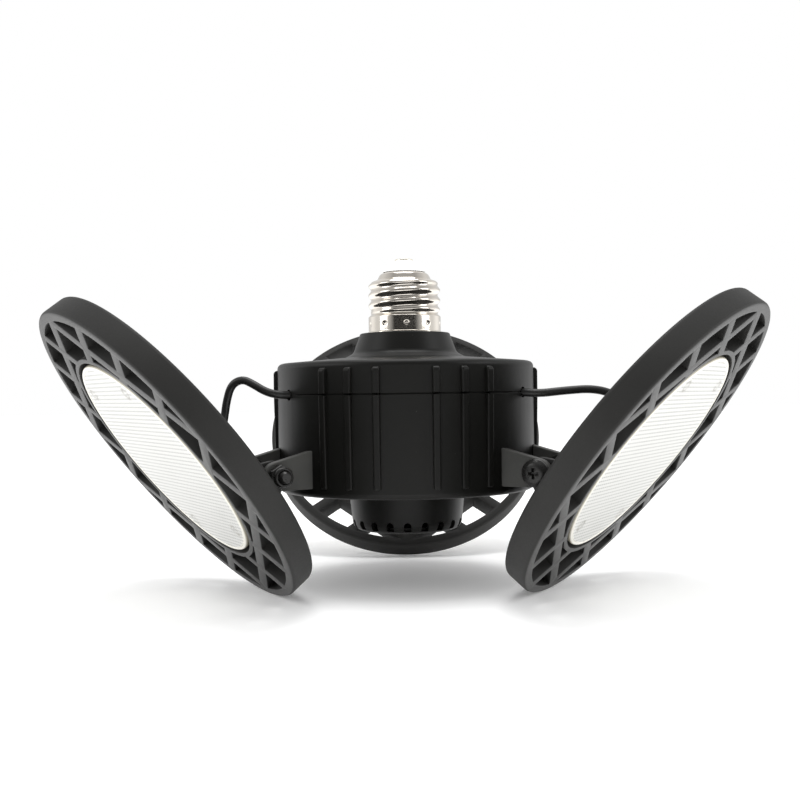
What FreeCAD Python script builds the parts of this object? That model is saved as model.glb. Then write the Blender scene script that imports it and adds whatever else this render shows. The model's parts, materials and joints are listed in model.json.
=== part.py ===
import FreeCAD, Part
import math
import os

# Deformable garage light. A driver housing screws into a ceiling lamp holder by its screw cap, and
# three round lattice heads hang on it by friction hinges, each with its own lead and lens.
#
# Frame: the origin is on the light's axis, on the face where the screw shell seats, and +Z points up
# out of the screw cap. Lengths are millimetres and angles are degrees. Each head is drawn lying flat
# at azimuth 0, with its hinge at the origin, +X outwards and the lens down, and then put in place.

V = FreeCAD.Vector
UP = V(0, 0, 1)
ALONG_HINGE = V(0, 1, 0)

# ------------------------------------------------------------------------- driving dimensions

# Screw cap, medium Edison size
skirt_radius = 13.2
skirt_height = 5.3
thread_pitch = 3.629
thread_crests = 3
crest_radius = 13.15
root_radius = 12.2
first_crest_height = 8.8
shell_wall = 0.4
shell_flange_radius = 13.7
shell_flange_thickness = 0.5
shoulder_radius = 9.9
shoulder_rise = 2.95
shell_mouth_radius = 7.6
shell_mouth_rise = 2.75
shell_dents = 10
dent_radius = 0.75
dent_depth = 0.25
dent_height = 2.6
insulator_rise = 4.3
insulator_belly_radius = 6.4
insulator_belly_rise = 2.7
insulator_round = 4.5
contact_radius = 3.3
contact_thickness = 0.5
contact_edge_round = 0.3
contact_stem_radius = 1.1
contact_stem_length = 7.0

# Upper cover
spigot_wall = 1.9
neck_top_radius = 16.3
neck_round = 0.5
neck_foot_radius = 18.9
neck_foot_drop = 7.6
neck_foot_round = 2.5
neck_flare_radius = 22.0
neck_flare_drop = 9.3
crown_drop = 11.4
housing_radius = 46.5
housing_wall = 2.0
housing_edge_round = 2.0
seam_drop = 22.5
seam_chamfer = 0.35
lip_length = 2.5
lip_wall = 1.2
post_circle_radius = 27.0
post_radius = 3.2

# Lower housing
housing_bottom_drop = 57.0
floor_thickness = 2.5
strip_width = 2.5
strip_proud = 1.4
strip_foot_proud = 0.8
strip_foot_round = 0.64
strip_edge_round = 0.56
strip_top_drop = 13.6
strip_bottom_drop = 53.8
strip_offsets = (-36, -24, -12, 12, 24, 36)
boss_radius = 3.6
boss_joint_drop = 24.2
boss_ledge_thickness = 6.0
counterbore_radius = 2.8
lead_notch_radius = 1.9

# Vent cup under the housing
cup_radius = 21.2
cup_bottom_radius = 19.7
cup_drop = 71.6
cup_wall = 1.8
cup_corner_round = 3.5
cup_flange_radius = 27.0
cup_flange_thickness = 1.6
vent_slots = 20
vent_slot_width = 2.6
vent_slot_height = 3.2

# Hinges
hinge_standoff = 10.2
hinge_drop = 49.2
ear_thickness = 3.5
ear_outer_half_width = 14.0
ear_nose_radius = 4.8
ear_top_slope = 14.5
ear_edge_round = 0.5
washer_thickness = 0.3
washer_radius = 4.2
tongue_thickness = 3.0
tongue_nose_radius = 5.0
tongue_inner_foot = 12.0
tongue_outer_foot = 14.0
bolt_radius = 2.0
bolt_head_radius = 4.7
bolt_head_height = 2.6
bolt_head_rim = 0.9
bolt_dome_radius = 3.1
bolt_dome_height = 2.2
bolt_tip_proud = 1.6
nut_flats = 7.0
nut_hex_height = 3.2
nut_collar_radius = 3.3
nut_collar_height = 1.8
recess_width = 1.1
recess_span = 4.6
recess_depth = 1.6

# Heads
rest_tilt = 52.0
head_radius = 59.5
head_thickness = 8.8
head_edge_round = 1.2
rim_width = 3.4
rim_inner_round = 0.4
hub_radius = 41.4
hub_wall = 1.5
hub_plate_thickness = 3.0
hub_back_round = 1.0
head_offset = 25.7
back_gap = 14.5
rib_width = 3.8
lattice_across = 14.3
lattice_along = 11.15
rib_orders = (-5, -3, -1, 1, 3, 5)
lens_proud = 0.9
lens_face_thickness = 1.6
lens_skirt_wall = 1.6
lens_edge_round = 0.8
led_board_radius = 36.8
led_board_thickness = 1.6
led_rings = ((9.0, 6), (18.0, 12), (27.0, 18))
chip_length = 3.5
chip_width = 2.8
chip_height = 0.7
board_screw_across = 19.0
board_screw_along = 27.5
grommet_along = 22.0
grommet_radius = 3.6
grommet_tip_radius = 2.4
grommet_proud = 4.9
grommet_collar_height = 1.6
grommet_collar_round = 0.5
grommet_tip_round = 0.3
grommet_groove_radius = 2.6

# Driver
board_drop = 27.4
board_thickness = 1.6
terminal_width = 8.0
terminal_depth = 7.0
terminal_height = 7.8
transformer_size = (20.0, 17.0, 15.0)
transformer_place = (8.0, 12.0)
window_length = 10.0
window_height = 9.0
winding_radius = 6.3
winding_length = 15.3
capacitor_radius = 5.0
capacitor_length = 18.0
capacitor_round = 0.8
capacitor_place = (-15.0, 6.0)
rectifier_size = (8.5, 6.4, 2.6)
rectifier_place = (-4.0, -14.0)
choke_radius = 5.5
choke_height = 11.0
choke_core_radius = 4.4
choke_cheek = 1.6
choke_place = (17.0, -11.0)
fuse_radius = 2.0
fuse_length = 10.0
fuse_place = (-20.0, -10.0)
driver_wire_radius = 0.8
neutral_wire_gap = 0.3
live_wire_route = ((0.0, 0.0, 3.0), (-3.5, 2.0, -9.0), (-4.0, 3.0, -27.4))
neutral_wire_route = ((8.75, 0.0, 2.0), (6.0, -3.0, -9.0), (5.5, -4.0, -27.4))

# Small screws: radius of shank, radius of head, height of head, and how deep they go
small_screw = (1.4, 2.4, 1.7)
cup_screw = (1.0, 1.9, 1.3)
board_screw_bite = 8.0
housing_screw_bite = 8.0
cup_screw_bite = 2.0
led_screw_bite = 2.4
housing_pilot_spare = 1.0
thin_pilot_spare = 0.2

# Leads
lead_radius = 1.4
lead_bend_share = 0.45
lead_above_sleeve = 2.5

# Fits and clearances
thread_fit = 0.05
cap_fit = 0.05
lip_fit = 0.15
cup_fit = 0.1
hinge_fit = 0.05
washer_gap = 0.05
lens_fit = 0.5
boss_gap = 0.15
board_gap = 0.8
grommet_fit = 0.1
lead_fit = 0.1

# Heads by azimuth, and where the housing's own screws sit between them
head_azimuths = {"left": 210, "right": 330, "back": 90}
between_azimuths = (30, 150, 270)

# Routes of the three leads, from terminal to grommet: distance from the light's axis, distance along
# the hinge (counterclockwise from above) and height above the seam. They stay as chosen.
lead_routes = {
    "left": (
        (34.5, 0.0, 0.0), (46.0, 0.0, 0.0), (51.4, -0.8, 0.3), (54.6, -2.6, 1.6), (57.2, -5.2, 3.8),
        (60.0, -8.4, 5.8), (63.1, -11.1, 3.9), (64.3, -12.6, -1.6), (65.1, -12.7, -7.2),
        (66.9, -10.4, -12.0), (69.5, -5.9, -13.6), (72.6, -1.6, -11.6),
    ),
    "right": (
        (34.5, 0.0, 0.0), (46.0, 0.0, 0.0), (52.0, 1.2, -0.6), (59.5, 5.6, 0.3), (68.0, 11.8, 0.9),
        (75.2, 14.9, -1.6), (77.2, 12.6, -6.4), (75.2, 7.6, -9.6), (73.0, 2.6, -11.2),
    ),
    "back": (
        (34.5, 0.0, 0.0), (46.0, 0.0, 0.0), (51.6, -0.9, 0.5), (55.6, -3.4, 2.4), (59.3, -7.0, 3.9),
        (62.9, -10.7, 2.2), (64.9, -12.8, -3.0), (65.9, -12.0, -8.6), (67.6, -8.6, -12.6),
        (70.0, -4.2, -13.6), (72.8, -1.0, -11.6),
    ),
}

# ------------------------------------------------------------------------- derived places

shell_bore = root_radius - shell_wall
last_crest_height = first_crest_height + (thread_crests - 1) * thread_pitch
shoulder_height = last_crest_height + shoulder_rise
shell_mouth_height = shoulder_height + shell_mouth_rise
insulator_top = shell_mouth_height + insulator_rise
spigot_radius = shell_bore - cap_fit
spigot_top = last_crest_height
neck_top = -shell_flange_thickness
crown_z = -crown_drop
seam_z = -seam_drop
housing_inner = housing_radius - housing_wall
lip_radius = housing_inner - lip_fit
lip_inner = lip_radius - lip_wall
housing_bottom = -housing_bottom_drop
floor_top = housing_bottom + floor_thickness
boss_circle_radius = lip_inner - boss_radius - boss_gap
board_radius = boss_circle_radius - boss_radius - board_gap
boss_joint_z = -boss_joint_drop
boss_ledge_z = boss_joint_z - boss_ledge_thickness
board_top = -board_drop
board_bottom = board_top - board_thickness
cup_bottom = -cup_drop
cup_screw_circle = (cup_radius + cup_flange_radius) / 2
hinge_radius = housing_radius + hinge_standoff
hinge_z = -hinge_drop
ear_inner_half_width = ear_outer_half_width - ear_thickness
tongue_outer_half_width = ear_inner_half_width - washer_thickness - washer_gap
tongue_inner_half_width = tongue_outer_half_width - tongue_thickness
head_back = -back_gap
head_face = head_back - head_thickness
hub_front = head_back - hub_plate_thickness
hub_inner = hub_radius - hub_wall
rim_inner = head_radius - rim_width
lens_radius = hub_inner - lens_fit
led_board_front = hub_front - led_board_thickness
nut_height = nut_hex_height + nut_collar_height
bolt_tip = ear_outer_half_width + nut_height + bolt_tip_proud
pilot_radius = small_screw[0] + thread_fit
cup_pilot_radius = cup_screw[0] + thread_fit


# ------------------------------------------------------------------------- drawing helpers


def closed_outline(corners):
    """Closed wire in the XZ plane through (x, z, radius) corners, each rounded by its radius."""
    arcs = []
    for index, (x, z, radius) in enumerate(corners):
        here = V(x, 0, z)
        if radius == 0:
            arcs.append((here, None, here))
            continue
        before = corners[index - 1]
        after = corners[(index + 1) % len(corners)]
        back = (V(before[0], 0, before[1]) - here).normalize()
        onward = (V(after[0], 0, after[1]) - here).normalize()
        half = back.getAngle(onward) / 2
        reach = radius / math.tan(half)
        inward = (back + onward).normalize()
        middle = here + inward * (radius / math.sin(half) - radius)
        arcs.append((here + back * reach, middle, here + onward * reach))
    edges = []
    for index, (start, middle, end) in enumerate(arcs):
        if middle is not None:
            edges.append(Part.Arc(start, middle, end).toShape())
        following = arcs[(index + 1) % len(arcs)][0]
        if following.distanceToPoint(end) > 1e-6:
            edges.append(Part.LineSegment(end, following).toShape())
    return Part.Wire(edges)


def turned(corners):
    """Solid of revolution about the Z axis from (radius, height, rounding) corners."""
    return Part.Face(closed_outline(corners)).revolve(V(0, 0, 0), UP, 360)


def cylinder(radius, low, high, x=0.0, y=0.0):
    return Part.makeCylinder(radius, high - low, V(x, y, low), UP)


def tube(outer, inner, low, high):
    return cylinder(outer, low, high).cut(cylinder(inner, low, high))


def cross_cylinder(radius, low, high):
    """Cylinder along the hinge direction, centred on the hinge."""
    return Part.makeCylinder(radius, high - low, V(0, low, 0), ALONG_HINGE)


def block(x_span, y_span, z_span):
    size = [high - low for low, high in (x_span, y_span, z_span)]
    return Part.makeBox(*size, V(x_span[0], y_span[0], z_span[0]))


def centred_block(size, place, low, high):
    return block(
        (place[0] - size[0] / 2, place[0] + size[0] / 2),
        (place[1] - size[1] / 2, place[1] + size[1] / 2),
        (low, high),
    )


def joined(shapes):
    return shapes[0].multiFuse(list(shapes[1:])).removeSplitter()


def spun(shape, azimuth):
    copy = shape.copy()
    copy.rotate(V(0, 0, 0), UP, azimuth)
    return copy


def polar(radius, azimuth):
    angle = math.radians(azimuth)
    return radius * math.cos(angle), radius * math.sin(angle)


def around(radius, azimuths, make):
    """One shape at each azimuth on a circle, made by make(x, y)."""
    return [make(*polar(radius, azimuth)) for azimuth in azimuths]


def tangent_point(start, radius, side):
    """Where a line from start touches a circle round the origin, on its left (1) or right (-1)."""
    gap = V(0, 0, 0) - start
    heading = math.atan2(gap.z, gap.x) + side * math.asin(radius / gap.Length)
    reach = math.sqrt(gap.Length**2 - radius**2)
    return start + V(math.cos(heading), 0, math.sin(heading)) * reach


def plate(edges, near, far, edge_round):
    """Flat plate between two places along the hinge, with its rims on both faces rounded."""
    face = Part.Face(Part.Wire(edges))
    face.translate(V(0, near, 0))
    solid = face.extrude(V(0, far - near, 0))
    rims = [
        edge for edge in solid.Edges
        if all(abs(vertex.Y - edge.Vertexes[0].Y) < 1e-6 for vertex in edge.Vertexes)
    ]
    return solid.makeFillet(edge_round, rims)


def screw(x, y, seat, bite, sizes, upwards):
    """Plain screw: its head's underside is at seat, and its shank runs bite deep past it."""
    shank, cap, cap_height = sizes
    way = 1 if upwards else -1
    low, high = sorted((seat, seat + way * bite))
    cap_low, cap_high = sorted((seat, seat - way * cap_height))
    return cylinder(shank, low, high, x, y).fuse(cylinder(cap, cap_low, cap_high, x, y))


def in_place(shape, azimuth, tilt=rest_tilt):
    """Puts a shape drawn at the hinge onto the housing: tilted up, moved out and turned round."""
    copy = shape.copy()
    copy.rotate(V(0, 0, 0), ALONG_HINGE, -tilt)
    copy.translate(V(hinge_radius, 0, hinge_z))
    return spun(copy, azimuth)


# ------------------------------------------------------------------------- screw cap


def screw_shell():
    middle_radius = (crest_radius + root_radius) / 2
    quarter = thread_pitch / 4
    edges = []

    def line(start, end):
        edges.append(Part.LineSegment(V(start[0], 0, start[1]), V(end[0], 0, end[1])).toShape())

    def arc(start, middle, end):
        edges.append(Part.Arc(*(V(r, 0, z) for r, z in (start, middle, end))).toShape())

    outside = [
        (shell_bore, neck_top), (shell_flange_radius, neck_top), (shell_flange_radius, 0.0),
        (skirt_radius, 0.0), (skirt_radius, skirt_height),
    ]
    for start, end in zip(outside, outside[1:]):
        line(start, end)
    place = outside[-1]
    for crest in range(thread_crests):
        height = first_crest_height + crest * thread_pitch
        valley = (middle_radius, height - 3 * quarter)
        foot = (middle_radius, height - quarter)
        top = (middle_radius, height + quarter)
        if crest == 0:
            line(place, valley)
        arc(valley, (root_radius, height - 2 * quarter), foot)
        arc(foot, (crest_radius, height), top)
        place = top
    shoulder = (shoulder_radius, shoulder_height)
    mouth = (shell_mouth_radius, shell_mouth_height)
    line(place, (root_radius, last_crest_height + 1.5 * quarter))
    line((root_radius, last_crest_height + 1.5 * quarter), shoulder)
    bulge = [(low + high) / 2 + shell_wall for low, high in zip(shoulder, mouth)]
    arc(shoulder, bulge, mouth)
    inside = [mouth] + shell_inside() + [outside[0]]
    for start, end in zip(inside, inside[1:]):
        line(start, end)
    shell = Part.Face(Part.Wire(edges)).revolve(V(0, 0, 0), UP, 360)
    depth = skirt_radius + dent_radius - dent_depth
    dents = around(depth, [index * 360 / shell_dents for index in range(shell_dents)],
                   lambda x, y: Part.makeSphere(dent_radius, V(x, y, dent_height)))
    return shell.cut(dents)


def shell_inside(gap=0.0):
    """Inner line of the shell from its mouth down to its bore, pulled in by a gap."""
    return [
        (shell_mouth_radius - shell_wall - gap, shell_mouth_height - shell_wall),
        (shoulder_radius - shell_wall - gap, shoulder_height - shell_wall),
        (shell_bore - gap, last_crest_height + thread_pitch / 4),
    ]


def cap_insulator():
    mouth, shoulder, bore = shell_inside(cap_fit)
    hole = contact_stem_radius + cap_fit
    mouth_seat = (shell_mouth_radius + shell_wall / 2, shell_mouth_height + cap_fit)
    belly = (insulator_belly_radius, shell_mouth_height + insulator_belly_rise, insulator_round)
    return turned([
        (hole, spigot_top, 0), (bore[0], spigot_top, 0), (*bore, 0), (*shoulder, 0), (*mouth, 0),
        (mouth[0], mouth_seat[1], 0), (*mouth_seat, 0), belly,
        (contact_radius, insulator_top, 0), (hole, insulator_top, 0),
    ])


def centre_contact():
    button = turned([
        (0, insulator_top, 0), (contact_radius, insulator_top, 0),
        (contact_radius, insulator_top + contact_thickness, contact_edge_round),
        (0, insulator_top + contact_thickness, 0),
    ])
    stem = cylinder(contact_stem_radius, insulator_top - contact_stem_length, insulator_top)
    return joined([button, stem])


# ------------------------------------------------------------------------- housing


def strip(top, bottom, foot_proud, round_top):
    """One raised strip at azimuth 0, from the housing's wall out, with a rounded end."""
    root = housing_radius - housing_wall / 2
    top_corners = (
        [(housing_radius + strip_proud, top, strip_proud)] if round_top
        else [(housing_radius + strip_proud, top, 0)]
    )
    bottom_round = 0 if round_top else strip_foot_round
    corners = [(root, top, 0)] + top_corners + [
        (housing_radius + foot_proud, bottom, bottom_round), (root, bottom, 0),
    ]
    face = Part.Face(closed_outline(corners))
    face.translate(V(0, -strip_width / 2, 0))
    solid = face.extrude(V(0, strip_width, 0))
    outer = [
        edge for edge in solid.Edges
        if edge.Length > strip_width and min(math.hypot(v.X, v.Y) for v in edge.Vertexes) > housing_radius
    ]
    return solid.makeFillet(strip_edge_round, outer)


def strips(top, bottom, foot_proud, round_top):
    one = strip(top, bottom, foot_proud, round_top)
    return [spun(one, centre + offset) for centre in between_azimuths for offset in strip_offsets]


def lead_notches():
    """Round holes at the seam, one below each lead's way out of the housing."""
    start = lip_inner - lip_wall
    reach = housing_radius + housing_wall - start
    hole = Part.makeCylinder(lead_notch_radius, reach, V(start, 0, seam_z), V(1, 0, 0))
    return [spun(hole, azimuth) for azimuth in head_azimuths.values()]


def crown_middle(radius):
    """Height halfway through the sloping crown at a distance from the axis."""
    share = (radius - neck_flare_radius) / (housing_radius - neck_flare_radius)
    return -neck_flare_drop + share * (neck_flare_drop - crown_drop) - housing_wall / 2


def upper_cover():
    spigot_inner = spigot_radius - spigot_wall
    neck_inner = neck_top_radius - housing_wall
    body = turned([
        (spigot_inner, spigot_top, 0), (spigot_radius, spigot_top, 0), (spigot_radius, neck_top, 0),
        (neck_top_radius, neck_top, neck_round), (neck_foot_radius, -neck_foot_drop, neck_foot_round),
        (neck_flare_radius, -neck_flare_drop, neck_round), (housing_radius, crown_z, housing_edge_round),
        (housing_radius, seam_z + seam_chamfer, 0), (housing_radius - seam_chamfer, seam_z, 0),
        (lip_radius, seam_z, 0), (lip_radius, seam_z - lip_length, 0), (lip_inner, seam_z - lip_length, 0),
        (lip_inner, seam_z + lip_length, 0), (housing_inner, seam_z + lip_length + housing_wall, 0),
        (housing_inner, crown_z - housing_wall, 0),
        (neck_flare_radius - housing_wall, -neck_flare_drop - housing_wall, 0),
        (neck_inner, neck_top - housing_wall, 0), (spigot_inner, neck_top - housing_wall, 0),
    ])
    posts = around(post_circle_radius, between_azimuths,
                   lambda x, y: cylinder(post_radius, board_top, crown_middle(post_circle_radius), x, y))
    bosses = around(boss_circle_radius, between_azimuths,
                    lambda x, y: cylinder(boss_radius, boss_joint_z, crown_middle(boss_circle_radius), x, y))
    body = joined([body] + posts + bosses + strips(-strip_top_drop, seam_z + seam_chamfer, strip_proud, True))
    holes = around(post_circle_radius, between_azimuths,
                   lambda x, y: cylinder(pilot_radius, board_top, board_top + board_screw_bite, x, y))
    holes += around(boss_circle_radius, between_azimuths,
                    lambda x, y: cylinder(pilot_radius, boss_joint_z, boss_joint_z + housing_screw_bite, x, y))
    return body.cut(holes + lead_notches())


def ear():
    """One fork ear at the hinge, drawn at azimuth 0 on the clockwise side."""
    slope = math.radians(ear_top_slope)
    root = -hinge_radius + housing_inner / 2
    touch = V(math.sin(slope), 0, math.cos(slope)) * ear_nose_radius
    top_root = V(root, 0, touch.z + (touch.x - root) * math.tan(slope))
    bottom = V(0, 0, -ear_nose_radius)
    bottom_root = V(root, 0, -ear_nose_radius)
    edges = [
        Part.LineSegment(bottom_root, top_root).toShape(),
        Part.LineSegment(top_root, touch).toShape(),
        Part.Arc(touch, V(ear_nose_radius, 0, 0), bottom).toShape(),
        Part.LineSegment(bottom, bottom_root).toShape(),
    ]
    return plate(edges, -ear_outer_half_width, -ear_inner_half_width, ear_edge_round)


def lower_housing():
    barrel = turned([
        (0, housing_bottom, 0), (housing_radius, housing_bottom, housing_edge_round),
        (housing_radius, seam_z - seam_chamfer, 0), (housing_radius - seam_chamfer, seam_z, 0), (0, seam_z, 0),
    ])
    ear_right = ear()
    ear_left = ear_right.mirror(V(0, 0, 0), ALONG_HINGE)
    ears = [
        in_place(side, azimuth, tilt=0) for side in (ear_right, ear_left) for azimuth in head_azimuths.values()
    ]
    body = joined([barrel] + ears + strips(seam_z - seam_chamfer, -strip_bottom_drop, strip_foot_proud, False))
    cavity = cylinder(housing_inner, floor_top, seam_z)
    body = body.cut(cavity)
    boss_foot = housing_bottom + floor_thickness / 2
    bosses = around(boss_circle_radius, between_azimuths,
                    lambda x, y: cylinder(boss_radius, boss_foot, boss_joint_z, x, y))
    body = joined([body] + bosses)
    clearance = pilot_radius + thread_fit
    bolt_hole = cross_cylinder(bolt_radius + hinge_fit, -ear_outer_half_width, ear_outer_half_width)
    holes = [in_place(bolt_hole, azimuth, tilt=0) for azimuth in head_azimuths.values()]
    holes += around(boss_circle_radius, between_azimuths,
                    lambda x, y: cylinder(counterbore_radius, housing_bottom, boss_ledge_z, x, y))
    holes += around(boss_circle_radius, between_azimuths,
                    lambda x, y: cylinder(clearance, boss_ledge_z, boss_joint_z, x, y))
    holes += around(cup_screw_circle, between_azimuths,
                    lambda x, y: cylinder(cup_pilot_radius, floor_top - cup_screw_bite, floor_top, x, y))
    holes.append(cylinder(cup_radius + cup_fit, housing_bottom, floor_top))
    return body.cut(holes + lead_notches())


def vent_cup():
    inner_top = cup_radius - cup_wall
    inner_bottom = cup_bottom_radius - cup_wall
    flange_top = floor_top + cup_flange_thickness
    body = turned([
        (0, cup_bottom, 0), (cup_bottom_radius, cup_bottom, cup_corner_round), (cup_radius, housing_bottom, 0),
        (cup_radius, floor_top, 0), (cup_flange_radius, floor_top, 0), (cup_flange_radius, flange_top, 0),
        (inner_top, flange_top, 0), (inner_bottom, cup_bottom + cup_wall, cup_corner_round / 2),
        (0, cup_bottom + cup_wall, 0),
    ])
    half = vent_slot_width / 2
    low = cup_bottom + cup_wall / 2
    arch = low + vent_slot_height - half
    reach = (cup_bottom_radius - 2 * cup_wall, cup_radius)
    slot = joined([
        block(reach, (-half, half), (low, arch)),
        Part.makeCylinder(half, reach[1] - reach[0], V(reach[0], 0, arch), V(1, 0, 0)),
    ])
    slots = [spun(slot, index * 360 / vent_slots) for index in range(vent_slots)]
    holes = around(cup_screw_circle, between_azimuths,
                   lambda x, y: cylinder(cup_pilot_radius, floor_top, flange_top, x, y))
    return body.cut(slots + holes)


# ------------------------------------------------------------------------- driver


def driver_board():
    holes = around(post_circle_radius, between_azimuths,
                   lambda x, y: cylinder(pilot_radius, board_bottom, board_top, x, y))
    return cylinder(board_radius, board_bottom, board_top).cut(holes)


def hanging_block(size, place):
    """Block of the driver that hangs below its board."""
    return centred_block(size, place, board_bottom - size[2], board_bottom)


def transformer():
    """Core with a window through it, and a round winding that fills the window."""
    core = hanging_block(transformer_size, transformer_place)
    x, y = transformer_place
    middle = board_bottom - transformer_size[2] / 2
    window = centred_block((window_length, 2 * transformer_size[1]), transformer_place,
                           middle - window_height / 2, middle + window_height / 2)
    start = V(x, y - winding_length / 2, middle)
    winding = Part.makeCylinder(winding_radius, winding_length, start, ALONG_HINGE)
    return joined([core.cut(window), winding.common(core)])


def bulk_capacitor():
    x, y = capacitor_place
    low = board_bottom - capacitor_length
    can = turned([
        (0, low, 0), (capacitor_radius, low, capacitor_round), (capacitor_radius, board_bottom, 0),
        (0, board_bottom, 0),
    ])
    can.translate(V(x, y, 0))
    return can


def rectifier():
    return hanging_block(rectifier_size, rectifier_place)


def choke():
    x, y = choke_place
    low = board_bottom - choke_height
    return joined([
        cylinder(choke_radius, low, low + choke_cheek, x, y),
        cylinder(choke_core_radius, low, board_bottom, x, y),
        cylinder(choke_radius, board_bottom - choke_cheek, board_bottom, x, y),
    ])


def fuse():
    x, y = fuse_place
    return Part.makeCylinder(fuse_radius, fuse_length, V(x, y - fuse_length / 2, board_bottom - fuse_radius),
                             ALONG_HINGE)


def output_terminals():
    """Three terminal blocks on the board, each facing its lead's notch."""
    face = lead_routes["left"][0][0]
    one = block((face - terminal_depth, face), (-terminal_width / 2, terminal_width / 2),
                (board_top, board_top + terminal_height))
    return Part.makeCompound([spun(one, azimuth) for azimuth in head_azimuths.values()])


def bent_tube(points, radius, name=None):
    """Tube along straight runs joined by tangent arcs, each as large as its two runs allow."""
    edges = []
    place = points[0]
    radii = []
    for before, corner, after in zip(points, points[1:], points[2:]):
        back = before - corner
        onward = after - corner
        turn = math.pi - back.getAngle(onward)
        reach = lead_bend_share * min(back.Length, onward.Length)
        radii.append(reach / math.tan(turn / 2))
        back.normalize()
        onward.normalize()
        start = corner + back * reach
        end = corner + onward * reach
        inward = (back + onward).normalize()
        depth = math.hypot(reach, radii[-1]) - radii[-1]
        edges.append(Part.LineSegment(place, start).toShape())
        edges.append(Part.Arc(start, corner + inward * depth, end).toShape())
        place = end
    edges.append(Part.LineSegment(place, points[-1]).toShape())
    spine = Part.Wire(edges)
    section = Part.Wire(Part.makeCircle(radius, points[0], points[1] - points[0]))
    solid = spine.makePipeShell([section], True, False)
    if name:
        ratio = solid.Volume / (math.pi * radius**2 * spine.Length)
        print(f"{name}: length {spine.Length:.1f}, least radius {min(radii):.1f}, volume ratio {ratio:.3f}")
    return solid


def live_wire():
    """From the centre contact's stem down through the neck to the board."""
    top = insulator_top - contact_stem_length
    return bent_tube([V(0, 0, top)] + [V(*point) for point in live_wire_route], driver_wire_radius)


def neutral_wire():
    """From the seat of the shell, over the spigot's inside, down to the board."""
    inside = spigot_radius - spigot_wall - driver_wire_radius - neutral_wire_gap
    start = V(inside, 0, spigot_top)
    return bent_tube([start] + [V(*point) for point in neutral_wire_route], driver_wire_radius)


def board_screws():
    return Part.makeCompound(around(
        post_circle_radius, between_azimuths,
        lambda x, y: screw(x, y, board_bottom, board_screw_bite, small_screw, True)))


def housing_screws():
    bite = boss_ledge_thickness + housing_screw_bite - housing_pilot_spare
    return Part.makeCompound(around(
        boss_circle_radius, between_azimuths,
        lambda x, y: screw(x, y, boss_ledge_z, bite, small_screw, True)))


def cup_screws():
    seat = floor_top + cup_flange_thickness
    bite = cup_flange_thickness + cup_screw_bite - thin_pilot_spare
    return Part.makeCompound(around(
        cup_screw_circle, between_azimuths,
        lambda x, y: screw(x, y, seat, bite, cup_screw, False)))


# ------------------------------------------------------------------------- hinge hardware


def hinge_bolt():
    """Machine bolt with a domed head on the clockwise side and a cross recess."""
    seat = -ear_outer_half_width
    top = seat - bolt_head_height
    edges = [
        Part.LineSegment(V(0, seat, 0), V(bolt_head_radius, seat, 0)).toShape(),
        Part.LineSegment(V(bolt_head_radius, seat, 0), V(bolt_head_radius, seat - bolt_head_rim, 0)).toShape(),
        Part.Arc(V(bolt_head_radius, seat - bolt_head_rim, 0), V(bolt_dome_radius, seat - bolt_dome_height, 0),
                 V(0, top, 0)).toShape(),
        Part.LineSegment(V(0, top, 0), V(0, seat, 0)).toShape(),
    ]
    head = Part.Face(Part.Wire(edges)).revolve(V(0, 0, 0), ALONG_HINGE, 360)
    span = recess_span / 2
    width = recess_width / 2
    deep = (top - recess_depth, top + recess_depth)
    cross = joined([block((-span, span), deep, (-width, width)), block((-width, width), deep, (-span, span))])
    return joined([head.cut(cross), cross_cylinder(bolt_radius, seat, bolt_tip)])


def hinge_nut():
    """Prevailing-torque nut: a hexagon with a round collar, on the counterclockwise side."""
    seat = ear_outer_half_width
    corner_radius = nut_flats / math.sqrt(3)
    corners = [V(corner_radius * math.cos(math.radians(60 * step)), seat,
                 corner_radius * math.sin(math.radians(60 * step))) for step in range(7)]
    hexagon = Part.Face(Part.makePolygon(corners)).extrude(V(0, nut_hex_height, 0))
    collar = cross_cylinder(nut_collar_radius, seat, seat + nut_height)
    bore = cross_cylinder(bolt_radius + thread_fit, seat, seat + nut_height)
    return joined([hexagon, collar]).cut(bore)


def hinge_washers():
    washers = []
    for low in (ear_inner_half_width - washer_thickness, -ear_inner_half_width):
        high = low + washer_thickness
        disc = cross_cylinder(washer_radius, low, high)
        washers.append(disc.cut(cross_cylinder(bolt_radius + thread_fit, low, high)))
    return Part.makeCompound(washers)


# ------------------------------------------------------------------------- head


def centred(shape):
    """Moves a shape drawn about the head's own centre out to its place from the hinge."""
    copy = shape.copy()
    copy.translate(V(head_offset, 0, 0))
    return copy


def tongue(near, far):
    """One hinge plate that stands on the head's back, with a round nose at the hinge."""
    inner_foot = V(-tongue_inner_foot, 0, head_back - hub_plate_thickness / 2)
    outer_foot = V(tongue_outer_foot, 0, head_back - hub_plate_thickness / 2)
    inner_touch = tangent_point(inner_foot, tongue_nose_radius, 1)
    outer_touch = tangent_point(outer_foot, tongue_nose_radius, -1)
    edges = [
        Part.LineSegment(inner_foot, inner_touch).toShape(),
        Part.Arc(inner_touch, V(0, 0, tongue_nose_radius), outer_touch).toShape(),
        Part.LineSegment(outer_touch, outer_foot).toShape(),
        Part.LineSegment(outer_foot, inner_foot).toShape(),
    ]
    return plate(edges, near, far, ear_edge_round)


def lattice():
    """Two crossing families of slanted ribs between the hub and the rim."""
    steepness = math.atan2(lattice_along, lattice_across)
    long = 4 * head_radius
    ribs = []
    for lean in (1, -1):
        for order in rib_orders:
            rib = block((-rib_width / 2, rib_width / 2), (-long / 2, long / 2), (head_face, head_back))
            rib.rotate(V(0, 0, 0), UP, -lean * math.degrees(steepness))
            rib.translate(V(order * lattice_along, 0, 0))
            ribs.append(rib)
    grid = joined(ribs)
    band = tube(rim_inner + rim_width / 2, hub_radius - hub_wall / 2, head_face, head_back)
    return grid.common(band)


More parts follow.
